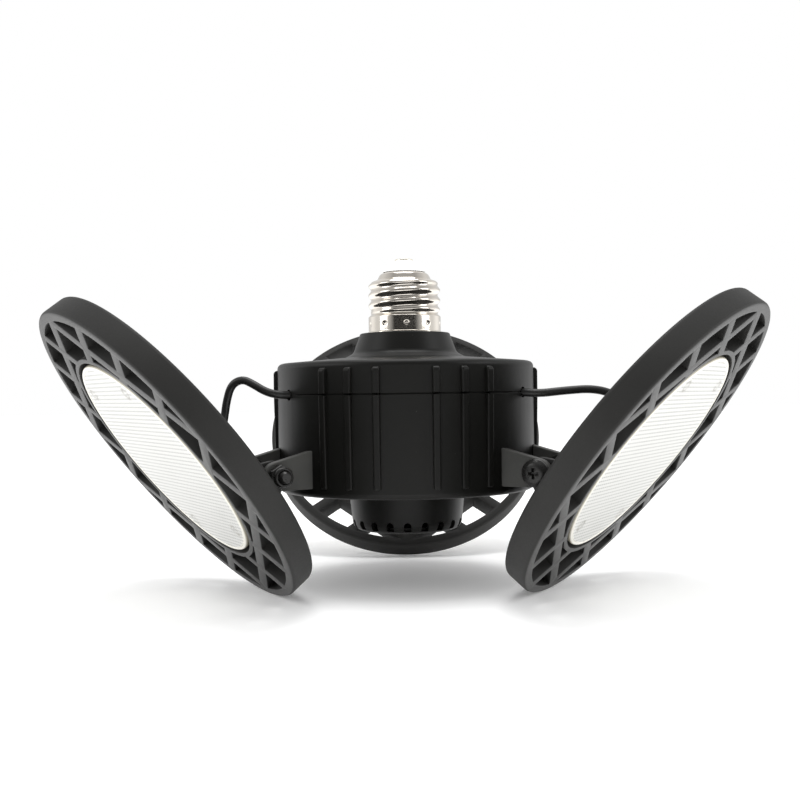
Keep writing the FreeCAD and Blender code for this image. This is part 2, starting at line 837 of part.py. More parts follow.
def head_frame():
    """Die-cast frame: rim, lattice, dished hub and the two hinge tongues on its back."""
    rim = turned([
        (rim_inner, head_back, rim_inner_round), (rim_inner, head_face, rim_inner_round),
        (head_radius, head_face, head_edge_round), (head_radius, head_back, head_edge_round),
    ])
    hub = turned([
        (0, head_back, 0), (0, hub_front, 0), (hub_inner, hub_front, 0), (hub_inner, head_face, 0),
        (hub_radius, head_face, 0), (hub_radius, head_back, hub_back_round),
    ])
    tongues = [
        tongue(tongue_inner_half_width, tongue_outer_half_width),
        tongue(-tongue_outer_half_width, -tongue_inner_half_width),
    ]
    body = joined([centred(joined([rim, hub, lattice()]))] + tongues)
    bolt_hole = cross_cylinder(bolt_radius + hinge_fit, -tongue_outer_half_width, tongue_outer_half_width)
    grommet_hole = cylinder(grommet_groove_radius + grommet_fit, hub_front, head_back, grommet_along)
    screw_holes = [
        cylinder(pilot_radius, hub_front, hub_front + led_screw_bite, x, y) for x, y in led_screw_places()
    ]
    return body.cut([bolt_hole, grommet_hole] + screw_holes)


def led_screw_places():
    return [
        (head_offset + along, across)
        for along in (-board_screw_along, board_screw_along)
        for across in (-board_screw_across, board_screw_across)
    ]


def led_board():
    holes = [
        cylinder(pilot_radius, led_board_front, hub_front, x, y) for x, y in led_screw_places()
    ]
    holes.append(cylinder(lead_radius + lead_fit, led_board_front, hub_front, grommet_along))
    return centred(cylinder(led_board_radius, led_board_front, hub_front)).cut(holes)


def led_chips():
    """Rings of surface-mounted chips on the front of the board."""
    chips = []
    for ring_radius, count in led_rings:
        for index in range(count):
            chip = centred_block((chip_length, chip_width), (ring_radius, 0),
                                 led_board_front - chip_height, led_board_front)
            chips.append(centred(spun(chip, (index + 0.5) * 360 / count)))
    return Part.makeCompound(chips)


def lens():
    """Moulded cover over the chips: a proud face on a skirt that stands on the hub's plate."""
    front = head_face - lens_proud
    return centred(turned([
        (0, front, 0), (lens_radius, front, lens_edge_round), (lens_radius, hub_front, 0),
        (lens_radius - lens_skirt_wall, hub_front, 0),
        (lens_radius - lens_skirt_wall, front + lens_face_thickness, 0), (0, front + lens_face_thickness, 0),
    ]))


def led_board_screws():
    bite = led_board_thickness + led_screw_bite - thin_pilot_spare
    return Part.makeCompound([
        screw(x, y, led_board_front, bite, small_screw, True)
        for x, y in led_screw_places()
    ])


def lead_grommet():
    """Rubber grommet in the hub's back, with a tapered sleeve round the lead."""
    hole = lead_radius + lead_fit
    body = turned([
        (hole, hub_front, 0), (grommet_groove_radius, hub_front, 0), (grommet_groove_radius, head_back, 0),
        (grommet_radius, head_back, 0),
        (grommet_radius, head_back + grommet_collar_height, grommet_collar_round),
        (grommet_tip_radius, head_back + grommet_proud, grommet_tip_round),
        (hole, head_back + grommet_proud, 0),
    ])
    body.translate(V(grommet_along, 0, 0))
    return body


# ------------------------------------------------------------------------- leads


def lead(side):
    """Lead from its terminal, out by the seam notch, round to the grommet in the head's back."""
    azimuth = head_azimuths[side]
    free = [spun_point(V(out, along, seam_z + rise), azimuth) for out, along, rise in lead_routes[side]]
    into_head = [
        tilted_point(V(grommet_along, 0, height), azimuth)
        for height in (head_back + grommet_proud + lead_above_sleeve, hub_front)
    ]
    return bent_tube(free + into_head, lead_radius, f"lead_{side}")


def spun_point(point, azimuth):
    return in_vertex(point, lambda shape: spun(shape, azimuth))


def tilted_point(point, azimuth):
    return in_vertex(point, lambda shape: in_place(shape, azimuth))


def in_vertex(point, move):
    return move(Part.Vertex(point)).Point


# ------------------------------------------------------------------------- the whole light


def light():
    """Every piece of the light by its node's name."""
    nodes = {
        "screw_shell": screw_shell(),
        "cap_insulator": cap_insulator(),
        "centre_contact": centre_contact(),
        "upper_cover": upper_cover(),
        "lower_housing": lower_housing(),
        "vent_cup": vent_cup(),
        "driver_board": driver_board(),
        "transformer": transformer(),
        "bulk_capacitor": bulk_capacitor(),
        "rectifier": rectifier(),
        "choke": choke(),
        "fuse": fuse(),
        "output_terminals": output_terminals(),
        "live_wire": live_wire(),
        "neutral_wire": neutral_wire(),
        "board_screws": board_screws(),
        "housing_screws": housing_screws(),
        "cup_screws": cup_screws(),
    }
    fixed_at_hinge = {
        "hinge_bolt": hinge_bolt(), "hinge_nut": hinge_nut(), "hinge_washers": hinge_washers(),
    }
    tilting = {
        "head_frame": head_frame(), "led_board": led_board(), "led_chips": led_chips(), "lens": lens(),
        "led_board_screws": led_board_screws(), "lead_grommet": lead_grommet(),
    }
    for side, azimuth in head_azimuths.items():
        for name, shape in fixed_at_hinge.items():
            nodes[f"{name}_{side}"] = in_place(shape, azimuth, tilt=0)
        for name, shape in tilting.items():
            nodes[f"{name}_{side}"] = in_place(shape, azimuth)
        nodes[f"lead_{side}"] = lead(side)
    return nodes


os.makedirs("parts", exist_ok=True)
for node_name, node_shape in light().items():
    node_shape.exportStep(f"parts/{node_name}.step")
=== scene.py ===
import json
import math

import bpy
from mathutils import Matrix, Vector

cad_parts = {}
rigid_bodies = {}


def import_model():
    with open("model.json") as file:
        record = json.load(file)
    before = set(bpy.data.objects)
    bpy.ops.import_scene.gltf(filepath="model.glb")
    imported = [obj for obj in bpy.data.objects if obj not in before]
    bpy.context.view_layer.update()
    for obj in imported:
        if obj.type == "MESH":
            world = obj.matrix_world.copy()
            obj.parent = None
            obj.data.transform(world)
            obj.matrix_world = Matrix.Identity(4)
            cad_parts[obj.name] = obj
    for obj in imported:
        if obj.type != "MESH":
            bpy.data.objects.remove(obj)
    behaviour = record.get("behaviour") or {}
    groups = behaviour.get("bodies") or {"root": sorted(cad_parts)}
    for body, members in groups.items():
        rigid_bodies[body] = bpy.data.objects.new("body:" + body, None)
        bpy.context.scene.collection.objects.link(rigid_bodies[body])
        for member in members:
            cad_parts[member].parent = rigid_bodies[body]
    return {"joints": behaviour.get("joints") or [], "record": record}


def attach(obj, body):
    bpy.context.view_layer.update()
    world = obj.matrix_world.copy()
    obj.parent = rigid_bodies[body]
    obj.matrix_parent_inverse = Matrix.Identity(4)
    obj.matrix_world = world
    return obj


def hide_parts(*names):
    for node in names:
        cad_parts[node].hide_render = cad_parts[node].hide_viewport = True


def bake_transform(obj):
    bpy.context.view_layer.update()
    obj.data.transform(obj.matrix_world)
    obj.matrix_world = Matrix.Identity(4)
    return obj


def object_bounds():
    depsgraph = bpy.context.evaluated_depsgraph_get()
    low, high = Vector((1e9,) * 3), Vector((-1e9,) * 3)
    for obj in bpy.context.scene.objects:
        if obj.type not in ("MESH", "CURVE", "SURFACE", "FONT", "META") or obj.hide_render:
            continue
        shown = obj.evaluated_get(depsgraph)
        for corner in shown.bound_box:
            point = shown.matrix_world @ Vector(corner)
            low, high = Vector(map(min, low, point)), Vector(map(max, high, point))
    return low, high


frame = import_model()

CAD_BOX = [list(corner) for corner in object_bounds()]
MM = 0.001

# Lengths are in millimetres, apart from those that are said to be in metres.

# The heads by side, and from the frame's joints the azimuth and place (in metres) of their hinges
SIDES = ("left", "right", "back")
HINGES = {joint["child"].removeprefix("head_"): joint for joint in frame["joints"]}
AZIMUTH = {side: math.atan2(HINGES[side]["pos_m"][1], HINGES[side]["pos_m"][0]) for side in SIDES}
HINGE_RADIUS = math.hypot(*HINGES["right"]["pos_m"][:2])
HINGE_HEIGHT = HINGES["right"]["pos_m"][2]
REST_TILT = -math.radians(HINGES["right"]["range_deg"][0])

# Lowest point of the light, in metres
FLOOR = CAD_BOX[0][2]

# How far a cutting tool reaches past what it cuts
SPARE = 1.0

# Points nearer than this, in metres, are merged
MERGE = 0.002 * MM

# Degrees between two faces: up to which they are merged, shaded as one, and left sharp
FLAT_ANGLE = 0.3
SHADE_ANGLE = 30
SHARP_ANGLE = 30

# Head, in its own flat frame: hinge at the origin, +X outwards, lens down
HEAD_RADIUS = 59.5
HEAD_CENTRE = 25.7
HEAD_BACK = -14.5
HEAD_FACE = HEAD_BACK - 8.8
HEAD_ROUND = 1.2
RIM_INNER = HEAD_RADIUS - 3.4
HUB_RADIUS = 41.4
HUB_INNER = HUB_RADIUS - 1.5
HUB_FRONT = HEAD_BACK - 3.0
CASTING_BEVEL = 0.3
GROMMET_ALONG = 22.0
UV_SPAN = 100.0

# Lattice of the head, whose openings have their middles between two distances from the head's middle
RIB_WIDTH = 3.8
LATTICE_ACROSS = 14.3
LATTICE_ALONG = 11.15
LATTICE_ROWS = 6
LATTICE_TOOL = 20.0
LATTICE_FIRST = HUB_RADIUS - 12.0
LATTICE_LAST = RIM_INNER + 9.0

# Lens: a smooth edge around a sunk field, from which the prisms rise
LENS_RADIUS = 38.6
LENS_FRONT = HEAD_FACE - 0.1
LENS_ROUND = 0.8
LENS_EDGE = 37.2
FIELD_DEPTH = 0.3
FIELD_STEP = 0.15
PRISM_SHEET = 80.0
PRISM_COLUMNS = 100
PRISM_ROWS = 110
PRISM_BASE = LENS_FRONT + 0.28
PRISM_HEIGHT = 0.24
PRISM_BACKING = 1.2
FIELD_BACK = LENS_FRONT + 1.1
PRISM_PITCH = 1.6
LENS_SCREW = (27.5, 19.0)

# Hinge
TONGUE_INNER = 7.15
TONGUE_OUTER = 10.15
TONGUE_NOSE = 5.0
TONGUE_FEET = (-12.0, 14.0)
TONGUE_ROOT = HEAD_BACK - 1.5
TONGUE_BEVEL = 0.4
EAR_OUTER = 14.0
BOLT_RADIUS = 2.0
BOLT_GAP = 0.05
NUT_CORNER = 7.0 / math.sqrt(3)
NUT_TOP = EAR_OUTER + 3.2
NUT_COLLAR_RADIUS = 3.3
NUT_COLLAR_TOP = NUT_TOP + 1.8
NUT_BEVEL = 0.12
BOLT_LENGTH = NUT_COLLAR_TOP + 1.6 + EAR_OUTER
BOLT_PITCH = 0.7
BOLT_THREAD_TURNS = 8
BOLT_THREAD_DEPTH = 0.36

# Head of the hinge bolt: distance from its axis, height over the ear and rounding of each corner.
# Two crossed arms cut its recess, and their half length is given at the bottom and at the top.
BOLT_HEAD = ((0, 0, 0), (4.7, 0, 0.25), (4.7, 0.9, 0.3), (3.3, 2.15, 2.5), (0, 2.6, 0))
RECESS_REACH = (1.6, 3.4)
RECESS_HEIGHT = 2.6
RECESS_MIDDLE = 2.15
RECESS_NARROWNESS = 0.27
RECESS_BEVEL = 0.08

# Screw cap
FLANGE_RADIUS = 13.7
SKIRT_RADIUS = 13.2
SKIRT_HEIGHT = 5.3
THREAD_PITCH = 3.629
CREST_RADIUS = 13.15
ROOT_RADIUS = 12.2
THREAD_START = 13.35
THREAD_LOW = 6.4
THREAD_RUN_IN = 2.2
THREAD_HIGH = 18.4
THREAD_RUN_OUT = 1.8
SHELL_WALL = 0.4
SHELL_STEPS = 288
SKIRT_ROWS = 26
SKIRT_STEP = 0.2
WAIST_ROWS = 6
THREAD_ROWS = 44
THREAD_STEP = 0.25
DENTS = 10
DENT_TURN = math.radians(87.3)
DENT_HEIGHT = 2.6
DENT_RADIUS = 0.75
DENT_REACH = 1.35
DENT_DEPTH = 0.35

# Shoulder of the shell above its thread: radius, height and rounding of each corner
SHELL_SHOULDER = ((12.15, 18.2, 0.9), (9.9, 19.0, 0.5), (8.9, 20.9, 1.6), (7.6, 21.7, 0))

# Leads. The points of a route are distances from the light's axis, distances along the hinge and heights
# above the seam. Each lead then turns at a corner behind its head, and goes down into the hub.
LEAD_RADIUS = 1.4
LEAD_CORNER = HEAD_BACK + 7.4
SEAM_HEIGHT = -22.5
WALL_RADIUS = 46.5
LEAD_ROUTES = {
    "left": (
        (34.5, 0.0, 0.0), (46.0, 0.0, 0.0), (51.4, -0.8, 0.3), (54.6, -2.6, 1.6), (57.2, -5.2, 3.8),
        (60.0, -8.4, 5.8), (63.1, -11.1, 3.9), (64.3, -12.6, -1.6), (65.1, -12.7, -7.2),
        (66.9, -10.4, -12.0), (69.5, -5.9, -13.6), (72.6, -1.6, -11.6),
    ),
    "right": (
        (34.5, 0.0, 0.0), (46.0, 0.0, 0.0), (52.0, 1.2, -0.6), (59.5, 5.6, 0.3), (68.0, 11.8, 0.9),
        (75.2, 14.9, -1.6), (77.2, 12.6, -6.4), (75.2, 7.6, -9.6), (73.0, 2.6, -11.2),
    ),
    "back": (
        (34.5, 0.0, 0.0), (46.0, 0.0, 0.0), (51.6, -0.9, 0.5), (55.6, -3.4, 2.4), (59.3, -7.0, 3.9),
        (62.9, -10.7, 2.2), (64.9, -12.8, -3.0), (65.9, -12.0, -8.6), (67.6, -8.6, -12.6),
        (70.0, -4.2, -13.6), (72.8, -1.0, -11.6),
    ),
}

# Camera, with its place and clipping in metres
CAMERA_DISTANCE = 0.384
CAMERA_HEIGHT = -0.023
CAMERA_AZIMUTH = math.radians(269.77)
CAMERA_ROLL = math.radians(-0.8)
CAMERA_LENS = 47.2
CAMERA_SENSOR = 36
CAMERA_SHIFT = (-0.0071, -0.0062)
CAMERA_CLIP = (0.01, 20)

# Brightness of the room: what lights the object, and what polished things reflect
ROOM_WHITE = 1.08
ROOM_END = 0.03
ROOM_SIDE = 0.85
ROOM_TOP = 0.45
ROOM_BACK = 0.75

# Soft boxes: the place of each, what it faces and its size, in metres, and its power in watts
SOFT_BOXES = {
    "left_box": ((-0.95, -0.35, 0.30), (0, 0, -0.04), (0.5, 0.9), 3.0),
    "right_box": ((0.95, -0.35, 0.30), (0, 0, -0.04), (0.5, 0.9), 3.0),
    "top_box": ((0.0, 0.10, 1.0), (0, 0, 0), (0.7, 0.5), 5.0),
}

# White floor, a little under the light, in metres
FLOOR_SIZE = 8
FLOOR_GAP = 0.0002
FLOOR_GLOW = 0.12

# Where each hinge stands on the housing, and each head as it is tilted at rest
HINGE_PLACE = {
    side: Matrix.Rotation(AZIMUTH[side], 4, "Z") @ Matrix.Translation((HINGE_RADIUS, 0, HINGE_HEIGHT))
    for side in SIDES
}
HEAD_PLACE = {side: HINGE_PLACE[side] @ Matrix.Rotation(-REST_TILT, 4, "Y") for side in SIDES}


# ------------------------------------------------------------------------- camera


def make_camera():
    bpy.ops.object.camera_add(
        location=(CAMERA_DISTANCE * math.cos(CAMERA_AZIMUTH), CAMERA_DISTANCE * math.sin(CAMERA_AZIMUTH),
                  CAMERA_HEIGHT),
        rotation=(math.pi / 2, 0, CAMERA_AZIMUTH + math.pi / 2),
    )
    camera = bpy.context.object
    camera.name = "photo_camera"
    camera.rotation_euler.rotate_axis("Z", CAMERA_ROLL)
    camera.data.lens = CAMERA_LENS
    camera.data.sensor_width = CAMERA_SENSOR
    camera.data.shift_x, camera.data.shift_y = CAMERA_SHIFT
    camera.data.clip_start, camera.data.clip_end = CAMERA_CLIP
    bpy.context.scene.camera = camera


# ------------------------------------------------------------------------- leads


def lead_points(side):
    """The lead's points from the housing's inside to the head's inside, in metres."""
    turn = Matrix.Rotation(AZIMUTH[side], 4, "Z")
    free = [
        turn @ (Vector((out, along, SEAM_HEIGHT + rise)) * MM) for out, along, rise in LEAD_ROUTES[side]
    ]
    into_head = [HEAD_PLACE[side] @ (Vector((GROMMET_ALONG, 0, z)) * MM) for z in (LEAD_CORNER, HUB_FRONT)]
    return free + into_head


def make_lead(side):
    """A round lead from the housing's seam to the grommet in its head."""
    points = lead_points(side)
    curve = bpy.data.curves.new(f"supply_lead_{side}", "CURVE")
    curve.dimensions = "3D"
    curve.resolution_u = 16
    spline = curve.splines.new("NURBS")
    spline.points.add(len(points) - 1)
    for control, point in zip(spline.points, points):
        control.co = (*point, 1)
    spline.order_u = 3
    spline.use_endpoint_u = True
    lead = bpy.data.objects.new(f"supply_lead_{side}", curve)
    bpy.context.collection.objects.link(lead)
    centreline = bpy.data.meshes.new_from_object(lead)
    curve.bevel_depth = LEAD_RADIUS * MM
    curve.bevel_resolution = 6
    curve.use_fill_caps = True
    select_only(lead)
    bpy.ops.object.convert(target="MESH")
    lead = bpy.context.object
    bpy.ops.object.shade_smooth()
    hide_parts(f"lead_{side}")
    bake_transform(lead)
    return lead


# ------------------------------------------------------------------------- modelling


def select_only(piece):
    bpy.ops.object.select_all(action="DESELECT")
    piece.select_set(True)
    bpy.context.view_layer.objects.active = piece


def modified(piece, kind, **settings):
    select_only(piece)
    modifier = piece.modifiers.new(kind.title(), kind)
    for name, value in settings.items():
        setattr(modifier, name, value)
    bpy.ops.object.modifier_apply(modifier=modifier.name)
    return piece


def open_edit(piece):
    select_only(piece)
    bpy.ops.object.mode_set(mode="EDIT")
    bpy.ops.mesh.select_all(action="SELECT")


def close_edit():
    bpy.ops.object.mode_set(mode="OBJECT")


def chain(name, points):
    """A line of edges through points, left open in edit mode with its last point selected."""
    bpy.ops.object.select_all(action="DESELECT")
    bpy.ops.mesh.primitive_plane_add(size=MM, location=(0, 0, 0))
    piece = bpy.context.object
    piece.name = name
    bpy.ops.object.mode_set(mode="EDIT")
    bpy.ops.mesh.select_all(action="SELECT")
    bpy.ops.mesh.merge(type="CENTER")
    bpy.ops.transform.translate(value=Vector(points[0]) * MM)
    for start, end in zip(points, points[1:]):
        step = (Vector(end) - Vector(start)) * MM
        bpy.ops.mesh.extrude_region_move(TRANSFORM_OT_translate={"value": step})
    return piece


def rounded(corners):
    """Points of a line through (x, z, radius) corners, each rounded by its radius in a few steps."""
    steps = 6
    points = []
    for index, (x, z, radius) in enumerate(corners):
        here = Vector((x, z))
        if radius == 0:
            points.append(here)
            continue
        back = (Vector(corners[index - 1][:2]) - here).normalized()
        onward = (Vector(corners[index + 1][:2]) - here).normalized()
        half = back.angle(onward) / 2
        centre = here + (back + onward).normalized() * radius / math.sin(half)
        first = here + back * radius / math.tan(half) - centre
        sweep = first.angle_signed(here + onward * radius / math.tan(half) - centre)
        points += [centre + first @ Matrix.Rotation(sweep * step / steps, 2) for step in range(steps + 1)]
    return points


def turned(name, profile, steps):
    """A shape turned about the Z axis from (radius, height) points."""
    piece = chain(name, [(radius, 0, height) for radius, height in profile])
    bpy.ops.mesh.select_all(action="SELECT")
    bpy.ops.mesh.spin(steps=steps, angle=2 * math.pi, center=(0, 0, 0), axis=(0, 0, 1))
    bpy.ops.mesh.select_all(action="SELECT")
    bpy.ops.mesh.remove_doubles(threshold=MERGE)
    bpy.ops.mesh.normals_make_consistent(inside=False)
    close_edit()
    return piece


def plate(name, outline, near, far):
    """A flat plate from an outline of (x, z) points, between two places along the hinge."""
    piece = chain(name, [(x, near, z) for x, z in outline])
    bpy.ops.mesh.select_all(action="SELECT")
    bpy.ops.mesh.edge_face_add()
    bpy.ops.mesh.extrude_region_move(TRANSFORM_OT_translate={"value": (0, (far - near) * MM, 0)})
    bpy.ops.mesh.select_all(action="SELECT")
    bpy.ops.mesh.normals_make_consistent(inside=False)
    close_edit()
    return piece


def shifted(piece, x):
    """The piece, moved outwards."""
    piece.data.transform(Matrix.Translation((x * MM, 0, 0)))
    return piece


def round_bar(name, radius, low, high, vertices=64):
    """A closed round bar along the hinge."""
    bpy.ops.object.select_all(action="DESELECT")
    bpy.ops.mesh.primitive_cylinder_add(vertices=vertices, radius=radius * MM, depth=(high - low) * MM,
                                        location=(0, (low + high) / 2 * MM, 0), rotation=(math.pi / 2, 0, 0))
    piece = bpy.context.object
    piece.name = name
    bpy.ops.object.transform_apply(location=True, rotation=True, scale=True)
    return piece


def combined(piece, tool, operation):
    modified(piece, "BOOLEAN", object=tool, operation=operation, solver="EXACT")
    bpy.data.objects.remove(tool)
    return piece


def joined(pieces):
    select_only(pieces[0])
    for piece in pieces:
        piece.select_set(True)
    bpy.ops.object.join()
    return bpy.context.object


def copy_of(piece, name, matrix):
    copy = piece.copy()
    copy.data = piece.data.copy()
    copy.data.transform(matrix)
    copy.name = name
    bpy.context.collection.objects.link(copy)
    return copy


def smoothed(piece, degrees=SHADE_ANGLE):
    select_only(piece)
    bpy.ops.object.shade_smooth_by_angle(angle=math.radians(degrees))
    return piece


def softened(piece, width):
    """Takes the sharpness off every edge."""
    return modified(piece, "BEVEL", width=width * MM, segments=2, limit_method="ANGLE",
                    angle_limit=math.radians(SHARP_ANGLE), use_clamp_overlap=True, miter_outer="MITER_ARC")


def flattened(piece):
    """Merges the faces that lie in one plane."""
    open_edit(piece)
    bpy.ops.mesh.remove_doubles(threshold=MERGE)
    bpy.ops.mesh.dissolve_limited(angle_limit=math.radians(FLAT_ANGLE))
    close_edit()
    return piece


def mapped(piece, name, coordinates):
    """Gives the piece a UV map, worked out from its vertices' places in spans of UV_SPAN."""
    layer = piece.data.uv_layers.new(name=name)
    for corner in piece.data.loops:
        place = piece.data.vertices[corner.vertex_index].co / MM / UV_SPAN
        layer.data[corner.index].uv = coordinates(place)
    return piece


# ------------------------------------------------------------------------- heads


def lattice_openings():
    """The diamond openings between hub and rim, as one tool."""
    # Each opening is smaller than its cell of the lattice, by half a rib on every side.
    share = 1 - RIB_WIDTH / 2 * math.hypot(1 / LATTICE_ALONG, 1 / LATTICE_ACROSS)
    low = HEAD_FACE - 2 * SPARE
    high = HEAD_BACK + 2 * SPARE
    bpy.ops.object.select_all(action="DESELECT")
    bpy.ops.mesh.primitive_cylinder_add(vertices=4, radius=MM, depth=LATTICE_TOOL * MM,
                                        location=(0, 0, (HEAD_BACK + HEAD_FACE) / 2 * MM))
    diamond = bpy.context.object
    diamond.scale = (LATTICE_ALONG * share, LATTICE_ACROSS * share, 1)
    bpy.ops.object.transform_apply(location=True, rotation=True, scale=True)
    diamonds = []
    for row in range(-LATTICE_ROWS, LATTICE_ROWS + 1):
        for column in range(-LATTICE_ROWS, LATTICE_ROWS + 1):
            place = Vector((row * LATTICE_ALONG, column * LATTICE_ACROSS, 0))
            if (row + column) % 2 == 0 and LATTICE_FIRST < place.length < LATTICE_LAST:
                diamonds.append(copy_of(diamond, "diamond", Matrix.Translation(place * MM)))
    bpy.data.objects.remove(diamond)
    band = turned("band", [
        (HUB_RADIUS, low), (RIM_INNER, low), (RIM_INNER, high), (HUB_RADIUS, high), (HUB_RADIUS, low),
    ], steps=256)
    return combined(joined(diamonds), band, "INTERSECT")


def tongue_outline():
    """Outline of a tongue: two straight sides that run from its root to touch its round nose."""
    touches = []
    for x, side in zip(TONGUE_FEET, (1, -1)):
        distance = math.hypot(x, TONGUE_ROOT)
        heading = math.atan2(-TONGUE_ROOT, -x) + side * math.asin(TONGUE_NOSE / distance)
        reach = math.sqrt(distance ** 2 - TONGUE_NOSE ** 2)
        touches.append(math.atan2(TONGUE_ROOT + reach * math.sin(heading), x + reach * math.cos(heading)))
    steps = 24
    sweep = [touches[0] + (touches[1] - touches[0]) * step / steps for step in range(steps + 1)]
    nose = [(TONGUE_NOSE * math.cos(angle), TONGUE_NOSE * math.sin(angle)) for angle in sweep]
    return [(TONGUE_FEET[0], TONGUE_ROOT)] + nose + [(TONGUE_FEET[1], TONGUE_ROOT)]


def head_casting():
    """Die-cast frame: rim, diamond lattice, dished hub and two hinge tongues."""
    disc = turned("head_casting", rounded([
        (0, HEAD_BACK, 0), (HEAD_RADIUS, HEAD_BACK, HEAD_ROUND), (HEAD_RADIUS, HEAD_FACE, HEAD_ROUND),
        (HUB_INNER, HEAD_FACE, 0), (HUB_INNER, HUB_FRONT, 0), (0, HUB_FRONT, 0),
    ]), steps=256)
    casting = softened(flattened(combined(disc, lattice_openings(), "DIFFERENCE")), CASTING_BEVEL)
    shifted(mapped(casting, "depth", lambda place: (0, -place.z)), HEAD_CENTRE)
    tongues = []
    for near, far in ((TONGUE_INNER, TONGUE_OUTER), (-TONGUE_OUTER, -TONGUE_INNER)):
        tongue = plate("tongue", tongue_outline(), near, far)
        hole = round_bar("hole", BOLT_RADIUS + BOLT_GAP, near - SPARE, far + SPARE)
        tongues.append(softened(combined(tongue, hole, "DIFFERENCE"), TONGUE_BEVEL))
    return smoothed(joined([casting] + tongues), 35)


def prism_field():
    """Round sheet of small prisms: a grid with every second point raised, cut to the lens's field."""
    bpy.ops.object.select_all(action="DESELECT")
    bpy.ops.mesh.primitive_grid_add(x_subdivisions=PRISM_COLUMNS, y_subdivisions=PRISM_ROWS,
                                    size=PRISM_SHEET * MM, location=(0, 0, PRISM_BASE * MM))
    prisms = bpy.context.object
    prisms.name = "prisms"
    bpy.ops.object.transform_apply(location=True, rotation=True, scale=True)
    open_edit(prisms)
    bpy.ops.mesh.select_all(action="DESELECT")
    close_edit()
    for vertex in prisms.data.vertices:
        column = round(vertex.co.x / (PRISM_SHEET * MM / PRISM_COLUMNS))
        row = round(vertex.co.y / (PRISM_SHEET * MM / PRISM_ROWS))
        vertex.select = (column + row) % 2 == 0
    bpy.ops.object.mode_set(mode="EDIT")
    bpy.ops.transform.translate(value=(0, 0, -PRISM_HEIGHT * MM))
    bpy.ops.mesh.select_all(action="SELECT")
    bpy.ops.mesh.extrude_region_move(TRANSFORM_OT_translate={"value": (0, 0, PRISM_BACKING * MM)})
    bpy.ops.mesh.select_all(action="SELECT")
    bpy.ops.mesh.normals_make_consistent(inside=False)
    close_edit()
    front = LENS_FRONT - SPARE
    field = turned("field", [
        (0, front), (LENS_EDGE, front), (LENS_EDGE, FIELD_BACK), (0, FIELD_BACK),
    ], steps=192)
    return combined(prisms, field, "INTERSECT")


def lens_cover():
    """Moulded lens with a smooth edge and a field of small raised prisms."""
    cover = turned("lens_cover", rounded([
        (0, LENS_FRONT + FIELD_DEPTH, 0), (LENS_EDGE, LENS_FRONT + FIELD_DEPTH, 0),
        (LENS_EDGE + FIELD_STEP, LENS_FRONT, 0), (LENS_RADIUS, LENS_FRONT, LENS_ROUND),
        (LENS_RADIUS, HUB_FRONT, 0), (0, HUB_FRONT, 0),
    ]), steps=192)
    whole = joined([smoothed(cover), prism_field()])
    return shifted(mapped(whole, "flat", lambda place: (place.x, place.y)), HEAD_CENTRE)


# ------------------------------------------------------------------------- hinge hardware


def cross_recess_bolt():
    """Truss-head machine bolt along the hinge, with a tapered cross recess and a threaded tip."""
    head = turned("hinge_screw", rounded(BOLT_HEAD), steps=96)
    arms = []
    for angle in (0, math.pi / 2):
        bpy.ops.object.select_all(action="DESELECT")
        bpy.ops.mesh.primitive_cone_add(
            vertices=4, radius1=RECESS_REACH[0] * MM, radius2=RECESS_REACH[1] * MM, depth=RECESS_HEIGHT * MM,
            location=(0, 0, RECESS_MIDDLE * MM), rotation=(0, 0, angle),
        )
        arm = bpy.context.object
        arm.data.transform(Matrix.Rotation(math.pi / 4, 4, "Z"))
        arm.scale = (1, RECESS_NARROWNESS, 1)
        bpy.ops.object.transform_apply(location=True, rotation=True, scale=True)
        arms.append(arm)
    recess = combined(arms[0], arms[1], "UNION")
    head = softened(flattened(combined(head, recess, "DIFFERENCE")), RECESS_BEVEL)
    screw = joined([head, turned("shank", thread_profile(), steps=48)])
    screw.data.transform(Matrix.Translation((0, -EAR_OUTER * MM, 0)) @ Matrix.Rotation(math.pi / 2, 4, "X"))
    return smoothed(screw)


def thread_profile():
    """Outline of the shank from the head down to its tip, plain first and then threaded."""
    profile = [(0, 0.0), (BOLT_RADIUS, 0.0)]
    place = BOLT_THREAD_TURNS * BOLT_PITCH - BOLT_LENGTH
    while place > BOLT_PITCH - BOLT_LENGTH:
        profile += [(BOLT_RADIUS, place), (BOLT_RADIUS - BOLT_THREAD_DEPTH, place - BOLT_PITCH / 2)]
        place -= BOLT_PITCH
    return profile + [(BOLT_RADIUS - 0.05, 0.6 - BOLT_LENGTH), (BOLT_RADIUS - 0.5, -BOLT_LENGTH),
                      (0, -BOLT_LENGTH)]


